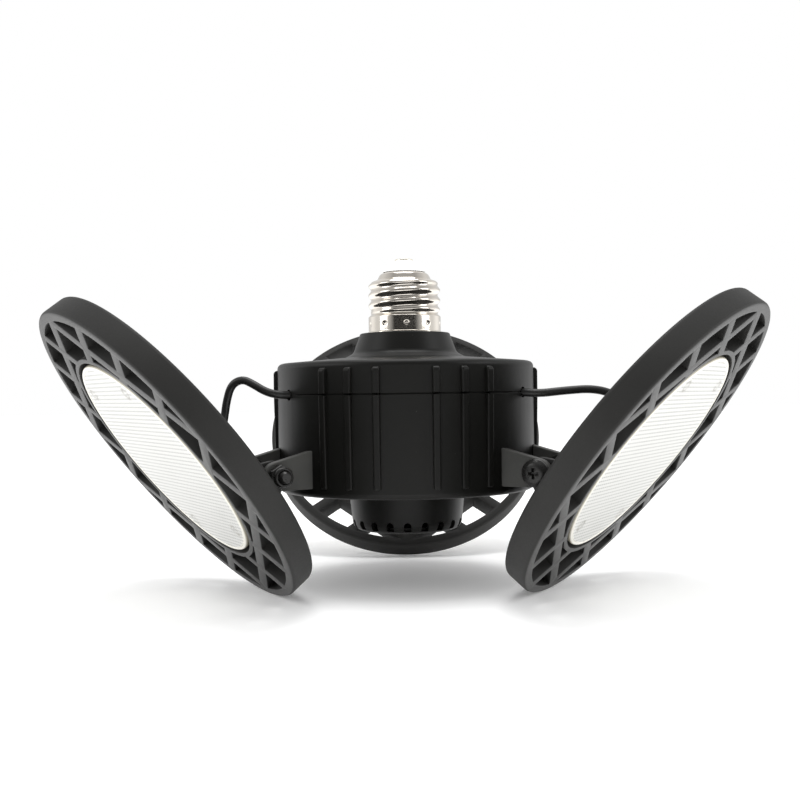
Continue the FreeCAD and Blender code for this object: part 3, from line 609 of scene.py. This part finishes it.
def locking_nut():
    """Hexagon nut, its corners taken off by a turned form, with a round locking collar."""
    hexagon = round_bar("hinge_lock_nut", NUT_CORNER, EAR_OUTER, NUT_TOP, vertices=6)
    chamfer = turned("chamfer", [
        (0, EAR_OUTER), (NUT_CORNER - 0.35, EAR_OUTER), (NUT_CORNER + 0.25, EAR_OUTER + 0.35),
        (NUT_CORNER + 0.25, NUT_TOP - 0.35), (NUT_CORNER - 0.45, NUT_TOP), (0, NUT_TOP),
    ], steps=96)
    bore_radius = BOLT_RADIUS + BOLT_GAP
    collar = turned("collar", rounded([
        (bore_radius, NUT_TOP - 0.5, 0), (NUT_COLLAR_RADIUS, NUT_TOP - 0.5, 0),
        (NUT_COLLAR_RADIUS, NUT_COLLAR_TOP, 0.7), (BOLT_RADIUS + 0.5, NUT_COLLAR_TOP, 0.1),
        (bore_radius, NUT_COLLAR_TOP - 0.5, 0), (bore_radius, NUT_TOP - 0.5, 0),
    ]), steps=64)
    for form in (chamfer, collar):
        form.data.transform(Matrix.Rotation(-math.pi / 2, 4, "X"))
    combined(hexagon, chamfer, "INTERSECT")
    bore = round_bar("bore", bore_radius, EAR_OUTER - SPARE, NUT_TOP + SPARE)
    return smoothed(joined([softened(flattened(combined(hexagon, bore, "DIFFERENCE")), NUT_BEVEL), collar]))


# ------------------------------------------------------------------------- screw cap


def ease(share):
    """0 below 0, 1 above 1, and smooth in between."""
    share = min(max(share, 0), 1)
    return share * share * (3 - 2 * share)


def thread_rise(angle, height):
    """How far the rolled thread stands out of its root at an angle and a height."""
    turns = (height - THREAD_START) / THREAD_PITCH - (angle - math.pi) / (2 * math.pi)
    wave = 0.5 + 0.5 * math.cos(2 * math.pi * turns)
    run_in = ease((height - THREAD_LOW) / THREAD_RUN_IN)
    run_out = ease((THREAD_HIGH - height) / THREAD_RUN_OUT)
    return (CREST_RADIUS - ROOT_RADIUS) * wave * run_in * run_out


def dent(angle, height):
    """How far the ring of punched dents goes in at an angle and a height."""
    step = 2 * math.pi / DENTS
    off = (angle + DENT_TURN) % step
    off = min(off, step - off) * SKIRT_RADIUS
    return DENT_DEPTH * ease(DENT_REACH - math.hypot(off, height - DENT_HEIGHT) / DENT_RADIUS)


def shell_profile():
    """Outline of the shell from its flange up to its mouth, with the thread's root for the thread."""
    flange = [(FLANGE_RADIUS, -0.5), (FLANGE_RADIUS, -0.1), (SKIRT_RADIUS + 0.15, 0.0)]
    skirt = [(SKIRT_RADIUS, row * SKIRT_STEP) for row in range(1, SKIRT_ROWS + 1)]
    waist = [
        (SKIRT_RADIUS - (SKIRT_RADIUS - ROOT_RADIUS) * ease(row / WAIST_ROWS),
         SKIRT_HEIGHT + row * SKIRT_STEP)
        for row in range(WAIST_ROWS + 1)
    ]
    threaded = [(ROOT_RADIUS, waist[-1][1] + row * THREAD_STEP) for row in range(1, THREAD_ROWS + 1)]
    shoulder = rounded([(*threaded[-1], 0), *SHELL_SHOULDER])[1:]
    return flange + skirt + waist + threaded + [tuple(point) for point in shoulder]


def rolled_shell():
    """Thin pressed shell: smooth skirt with punched dents, rolled right-hand thread and rounded shoulder."""
    profile = shell_profile()
    rows = len(profile) - 1
    bpy.ops.object.select_all(action="DESELECT")
    bpy.ops.mesh.primitive_grid_add(x_subdivisions=SHELL_STEPS, y_subdivisions=rows, size=2,
                                    location=(0, 0, 0))
    shell = bpy.context.object
    shell.name = "rolled_shell"
    for vertex in shell.data.vertices:
        angle = (vertex.co.x + 1) * math.pi
        radius, height = profile[round((vertex.co.y + 1) / 2 * rows)]
        radius += thread_rise(angle, height) - dent(angle, height)
        vertex.co = Vector((radius * math.cos(angle), radius * math.sin(angle), height)) * MM
    open_edit(shell)
    bpy.ops.mesh.remove_doubles(threshold=MERGE)
    bpy.ops.mesh.normals_make_consistent(inside=False)
    close_edit()
    modified(shell, "SOLIDIFY", thickness=SHELL_WALL * MM, offset=-1)
    return smoothed(shell, 40)


# ------------------------------------------------------------------------- finishes


class Value:
    """One output of a finish's nodes, with the sums that the finishes use."""

    def __init__(self, finish, socket):
        self.finish = finish
        self.socket = socket

    def maths(self, operation, *terms):
        return self.finish.node("ShaderNodeMath", {"operation": operation}, dict(enumerate(terms)))

    def __add__(self, other):
        return self.maths("ADD", self, other)

    __radd__ = __add__

    def __sub__(self, other):
        return self.maths("SUBTRACT", self, other)

    def __mul__(self, other):
        return self.maths("MULTIPLY", self, other)

    def __pow__(self, other):
        return self.maths("POWER", self, other)

    def __abs__(self):
        return self.maths("ABSOLUTE", self)

    def wave(self, pitch):
        """Cosine wave of this value, from -1 to 1, once in every pitch."""
        return self.maths("COSINE", self * (2 * math.pi / pitch))


class Finish:
    """One material, with a Principled shader and the nodes that vary it."""

    def __init__(self, name, **constants):
        self.material = bpy.data.materials.new(name)
        self.material.use_nodes = True
        self.tree = self.material.node_tree
        self.shader = self.tree.nodes["Principled BSDF"]
        self.set(**constants)
        self.place = self.node("ShaderNodeTexCoord", {}, {}, "Object")

    def set(self, **values):
        """Sets or links the shader's own sockets, named in lower case with underscores."""
        sockets = {socket.name.lower().replace(" ", "_"): socket for socket in self.shader.inputs}
        for name, value in values.items():
            self.feed(sockets[name], value)

    def feed(self, socket, value):
        if isinstance(value, Value):
            self.tree.links.new(value.socket, socket)
        else:
            socket.default_value = value

    def node(self, kind, settings, inputs, output=0):
        """Adds a node, sets what it does, feeds its sockets and gives one of its outputs."""
        node = self.tree.nodes.new(kind)
        for name, value in settings.items():
            setattr(node, name, value)
        for name, value in inputs.items():
            self.feed(node.inputs[name], value)
        return Value(self, node.outputs[output])

    def noise(self, scale, detail=2.0, roughness=0.5):
        """Smooth noise from 0 to 1, with scale as spots per metre."""
        inputs = {"Vector": self.place, "Scale": scale, "Detail": detail, "Roughness": roughness}
        return self.node("ShaderNodeTexNoise", {"noise_dimensions": "3D"}, inputs, "Fac")

    def spots(self, scale, radius):
        """Small round spots, 1 at their middles, one to each cell of a given scale."""
        distance = self.node("ShaderNodeTexVoronoi", {"feature": "F1"},
                             {"Vector": self.place, "Scale": scale}, "Distance")
        return self.between(distance, radius, 0.0)

    def between(self, value, low, high):
        """0 where the value is at low, and 1 at high, smooth in between."""
        return self.node("ShaderNodeMapRange", {"interpolation_type": "SMOOTHSTEP"},
                         {"Value": value, "From Min": low, "From Max": high})

    def parts(self, vector, count):
        """The first numbers of a vector."""
        return [self.node("ShaderNodeSeparateXYZ", {}, {0: vector}, output) for output in range(count)]

    def mixed(self, share, first, second):
        """One colour where share is 0, and the other where it is 1."""
        first, second = ((*colour, 1) if isinstance(colour, tuple) else colour for colour in (first, second))
        return self.node("ShaderNodeMix", {"data_type": "RGBA", "clamp_factor": True},
                         {0: share, 6: first, 7: second}, 2)

    def bumped(self, height, distance, strength):
        """Normal of a relief whose height of 1 stands that many millimetres proud."""
        return self.node("ShaderNodeBump", {}, {"Height": height, "Distance": distance * MM,
                                                "Strength": strength})


def clouded(name, dark, light, clouds, roughness, grain=None, **constants):
    """Two close shades in soft clouds, which also vary the roughness, with a grain in low relief.

    clouds is their scale and detail, roughness its least value and how much it varies, and grain its
    scale, height in millimetres and strength.
    """
    finish = Finish(name, **constants)
    cloud = finish.noise(*clouds)
    finish.set(base_color=finish.mixed(cloud, dark, light), roughness=roughness[0] + cloud * roughness[1])
    if grain:
        scale, height, strength = grain
        finish.set(normal=finish.bumped(finish.noise(scale), height, strength))
    return finish.material


def plain(name, dark, light, roughness):
    """Finish of a part inside."""
    return clouded(name, dark, light, (300, 3), (roughness, 0.12), (1800, 0.02, 0.4))


def satin_moulded_black():
    """Black plastic: glossier walls, and duller ears around each hinge, whose faces are painted lighter as a
    painted highlight.
    """
    finish = Finish("satin_moulded_black", specular_ior_level=0.24)
    cloud = finish.noise(60, 3)
    grain = finish.noise(2600)
    dust = finish.spots(330, 0.09) * finish.between(finish.noise(45, 1), 0.52, 0.62)
    across, along = finish.parts(finish.place, 2)
    outward = (across * across + along * along) ** 0.5
    azimuth = finish.node("ShaderNodeMath", {"operation": "ARCTAN2"}, {0: along, 1: across})
    near_hinge = (azimuth - AZIMUTH["back"]).wave(2 * math.pi / len(SIDES))
    ear_with_painted_light = finish.between(outward, (WALL_RADIUS + 0.1) * MM, (WALL_RADIUS + 0.3) * MM)
    ear_with_painted_light = ear_with_painted_light * finish.between(near_hinge, 0.36, 0.46)
    # Painted light: the ears' faces are painted lighter than the black, standing in for the light they
    # catch; they are also a little duller.
    black = finish.mixed(ear_with_painted_light * (0.45 + cloud * 0.9), (0.0058, 0.0058, 0.0050), (0.062, 0.062, 0.058))
    finish.set(
        base_color=finish.mixed(dust * 0.5, black, (0.09, 0.088, 0.08)),
        roughness=0.34 + cloud * 0.10 + grain * 0.05 + ear_with_painted_light * 0.06,
        normal=finish.bumped(grain + dust * 0.6, 0.02, 0.55),
    )
    return finish.material


def powder_coated_casting():
    """Pebbled black coat, glossier on the flat face of the head, which is also painted lighter as painted
    light from the floor.
    """
    finish = Finish("powder_coated_casting", specular_ior_level=0.35)
    cloud = finish.noise(70, 4)
    pebble = finish.noise(1500, 3, 0.6)
    fleck = finish.spots(1900, 0.25)
    depth = finish.parts(finish.node("ShaderNodeUVMap", {"uv_map": "depth"}, {}), 2)[1] * UV_SPAN
    face_with_painted_light = finish.between(depth, -HEAD_FACE - 0.35, -HEAD_FACE - 0.1)
    coat = finish.mixed(cloud * 0.6 + fleck * 0.25, (0.0085, 0.0083, 0.0076), (0.020, 0.0195, 0.018))
    finish.set(
        # Painted light: the flat face is painted lighter, standing in for the light it catches from the
        # floor; it is also glossier.
        base_color=finish.mixed(face_with_painted_light * 0.9, coat, (0.050, 0.050, 0.049)),
        roughness=0.52 + pebble * 0.16 - face_with_painted_light * 0.12,
        normal=finish.bumped(pebble, 0.05, 0.6),
    )
    return finish.material


def nickel():
    """Bright plating with soft smears and fine scratches."""
    finish = Finish("nickel", metallic=1.0)
    smear = finish.noise(120, 4)
    scratch = finish.noise(900, 3)
    finish.set(
        base_color=finish.mixed(smear, (0.66, 0.61, 0.54), (0.78, 0.74, 0.68)),
        roughness=0.07 + smear * 0.08 + scratch * 0.03,
        normal=finish.bumped(scratch, 0.006, 0.4),
    )
    return finish.material


def prismatic_plastic():
    """Milky lens with rows of prisms, whose shade is painted in darker rows and dots, a clear yellowish edge
    and the marks of the screws behind it.
    """
    finish = Finish("prismatic_plastic", ior=1.49)
    flat = finish.node("ShaderNodeUVMap", {"uv_map": "flat"}, {})
    along, across = (part * UV_SPAN for part in finish.parts(flat, 2))
    edge = (along * along + across * across) ** 0.5
    rows = finish.between(along.wave(PRISM_PITCH), 0.1, 1.0)
    dots = finish.between(across.wave(PRISM_PITCH / 2), -0.4, 1.0)
    past_screw = ((abs(along) - LENS_SCREW[0]) ** 2.0 + (abs(across) - LENS_SCREW[1]) ** 2.0) ** 0.5
    mark = finish.between(past_screw, 2.5, 2.2) * finish.between(past_screw, 1.1, 1.5)
    field = finish.between(edge, LENS_EDGE, LENS_EDGE - 0.3)
    outer = finish.between(edge, LENS_RADIUS - 0.5, LENS_RADIUS - 0.1)
    cloud = finish.noise(55, 3)
    # Painted shade: darker rows and dots in the lens's colour stand in for the shading of its prisms, varied
    # by soft clouds.
    painted_prism_shade = (rows * (0.45 + dots * 0.55)) * (0.5 + cloud * 0.8)
    milk = finish.mixed(painted_prism_shade, (0.76, 0.76, 0.735), (0.40, 0.40, 0.385))
    milk = finish.mixed(mark * 0.7, milk, (0.30, 0.29, 0.26))
    rim = finish.mixed(outer, (0.84, 0.82, 0.74), (0.42, 0.39, 0.31))
    finish.set(
        base_color=finish.mixed(field, rim, milk),
        roughness=0.20 + cloud * 0.10 + mark * 0.2,
    )
    return finish.material


# ------------------------------------------------------------------------- light and floor


def make_floor():
    bpy.ops.object.select_all(action="DESELECT")
    bpy.ops.mesh.primitive_plane_add(size=FLOOR_SIZE, location=(0, 0, FLOOR - FLOOR_GAP))
    floor = bpy.context.object
    floor.name = "floor"
    bpy.ops.object.transform_apply(location=True)
    paper = Finish("white_floor", specular_ior_level=0.1, emission_color=(1, 1, 1, 1),
                   emission_strength=FLOOR_GLOW)
    grain = paper.noise(3)
    paper.set(base_color=paper.mixed(grain, (0.93, 0.93, 0.93), (0.95, 0.95, 0.95)),
              roughness=0.85 + grain * 0.1)
    floor.data.materials.append(paper.material)


def soft_box(name, place, target, size, power):
    """A soft square light that faces a target."""
    aim = (Vector(target) - Vector(place)).to_track_quat("-Z", "Y").to_euler()
    bpy.ops.object.light_add(type="AREA", location=place, rotation=aim)
    lamp = bpy.context.object
    lamp.name = name
    lamp.data.shape = "RECTANGLE"
    lamp.data.size, lamp.data.size_y = size
    lamp.data.energy = power


def make_light():
    """An evenly white room; polished things in it reflect its white sides and top, and its darker ends."""
    for name, box in SOFT_BOXES.items():
        soft_box(name, *box)
    world = bpy.data.worlds.new("white_room")
    bpy.context.scene.world = world
    world.use_nodes = True
    world.cycles.sampling_method = "NONE"
    nodes = world.node_tree.nodes
    links = world.node_tree.links

    def linked(kind, settings, inputs):
        """Adds a node, with its settings and inputs, and gives its first output."""
        node = nodes.new(kind)
        for name, value in settings.items():
            setattr(node, name, value)
        for name, value in inputs.items():
            if isinstance(value, bpy.types.NodeSocket):
                links.new(value, node.inputs[name])
            else:
                node.inputs[name].default_value = value
        return node.outputs[0]

    def sum_of(first, second):
        return linked("ShaderNodeMath", {"operation": "ADD"}, {0: first, 1: second})

    def glow(part, low, high, dark, bright):
        """Brightness of the room where a part of the direction goes from low to high."""
        return linked("ShaderNodeMapRange", {"interpolation_type": "SMOOTHSTEP"},
                      {0: part, 1: low, 2: high, 3: dark, 4: bright})

    def chosen(share, first, second):
        return linked("ShaderNodeMix", {"data_type": "FLOAT"}, {0: share, 2: first, 3: second})

    rays = nodes.new("ShaderNodeLightPath").outputs
    direction = nodes.new("ShaderNodeTexCoord").outputs["Generated"]
    separate = nodes.new("ShaderNodeSeparateXYZ")
    links.new(direction, separate.inputs[0])
    sideways = linked("ShaderNodeMath", {"operation": "ABSOLUTE"}, {0: separate.outputs["X"]})
    sides = glow(sideways, 0.50, 0.95, ROOM_END, ROOM_SIDE)
    top = glow(separate.outputs["Z"], 0.30, 0.95, 0.0, ROOM_TOP)
    back = glow(separate.outputs["Y"], 0.10, 0.85, 0.0, ROOM_BACK)
    reflected = sum_of(sides, sum_of(top, back))
    lighting = chosen(rays["Is Glossy Ray"], ROOM_WHITE, reflected)
    background = nodes["Background"].inputs
    links.new(chosen(rays["Is Camera Ray"], lighting, 1.0), background["Strength"])
    background["Color"].default_value = (1, 1, 1, 1)
    bpy.context.scene.view_settings.view_transform = "Standard"


# ------------------------------------------------------------------------- putting it together


def finishes():
    """The finish of each material slot."""
    return {
        "nickel_plate": nickel(),
        "white_ceramic": clouded("glazed_insulator", (0.84, 0.84, 0.82), (0.92, 0.92, 0.91),
                                 (240, 3), (0.12, 0.1), (500, 0.03, 0.3)),
        "contact_brass": clouded("tinned_brass", (0.72, 0.66, 0.52), (0.84, 0.80, 0.70),
                                 (500, 4), (0.25, 0.2), metallic=1.0),
        "housing_plastic": satin_moulded_black(),
        "cast_black": powder_coated_casting(),
        "circuit_board": plain("solder_mask", (0.010, 0.075, 0.030), (0.016, 0.105, 0.045), 0.3),
        "driver_parts": plain("wound_parts", (0.10, 0.075, 0.02), (0.15, 0.11, 0.03), 0.45),
        "capacitor_sleeve": plain("shrink_sleeve", (0.010, 0.013, 0.03), (0.018, 0.022, 0.05), 0.25),
        "fuse_glass": plain("glass_tube", (0.62, 0.65, 0.66), (0.72, 0.74, 0.75), 0.08),
        "terminal_plastic": plain("terminal_white", (0.70, 0.70, 0.67), (0.78, 0.78, 0.75), 0.4),
        "wire_red": plain("red_insulation", (0.36, 0.012, 0.010), (0.46, 0.018, 0.014), 0.35),
        "wire_white": plain("white_insulation", (0.70, 0.70, 0.67), (0.78, 0.78, 0.75), 0.35),
        "zinc_steel": clouded("zinc", (0.46, 0.47, 0.48), (0.64, 0.65, 0.66),
                              (900, 3), (0.24, 0.2), metallic=1.0),
        "black_steel": clouded("blackened_steel", (0.010, 0.010, 0.010), (0.034, 0.033, 0.031),
                               (700, 4), (0.20, 0.18), (2200, 0.01, 0.4), metallic=0.35),
        "led_board_white": plain("board_white", (0.84, 0.84, 0.82), (0.90, 0.90, 0.88), 0.3),
        "led_phosphor": plain("phosphor", (0.78, 0.52, 0.06), (0.86, 0.62, 0.10), 0.35),
        "lens_plastic": prismatic_plastic(),
        "black_rubber": clouded("soft_rubber", (0.012, 0.012, 0.012), (0.024, 0.024, 0.023),
                                (400, 3), (0.55, 0.2), (2400, 0.02, 0.5)),
        "lead_jacket": clouded("black_jacket", (0.010, 0.010, 0.010), (0.019, 0.019, 0.018),
                               (220, 3), (0.33, 0.15), (1800, 0.02, 0.4)),
    }


def dress(piece, slot, finish):
    """Gives a piece its material slot and that slot's finish."""
    piece.data.materials.clear()
    piece.data.materials.append(finish[slot])


def dress_nodes(finish):
    """Gives every node of the frame the finish of its slot in the record."""
    for part in frame["record"]["subparts"]:
        node = bpy.data.objects[part["node"]]
        for place in node.material_slots:
            place.material = finish[part["material_slot"]]


def fit(piece, node, body, slot, finish):
    """Puts a finished piece in place of its node."""
    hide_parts(node)
    dress(piece, slot, finish)
    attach(piece, body)


make_camera()
FINISH = finishes()
dress_nodes(FINISH)
for side in SIDES:
    dress(make_lead(side), "lead_jacket", FINISH)

fit(rolled_shell(), "screw_shell", "housing", "nickel_plate", FINISH)

# The pieces that every head and hinge has: pattern, name, places, node, body (none for the side's own
# head) and material slot
PATTERNS = (
    (head_casting(), "casting", HEAD_PLACE, "head_frame", None, "cast_black"),
    (lens_cover(), "cover", HEAD_PLACE, "lens", None, "lens_plastic"),
    (cross_recess_bolt(), "bolt", HINGE_PLACE, "hinge_bolt", "housing", "black_steel"),
    (locking_nut(), "nut", HINGE_PLACE, "hinge_nut", "housing", "black_steel"),
)
for side in SIDES:
    for pattern, name, places, node, body, slot in PATTERNS:
        piece = copy_of(pattern, f"{name}_{side}", places[side])
        fit(piece, f"{node}_{side}", body or f"head_{side}", slot, FINISH)
for pattern, *_ in PATTERNS:
    bpy.data.objects.remove(pattern)

make_floor()
make_light()
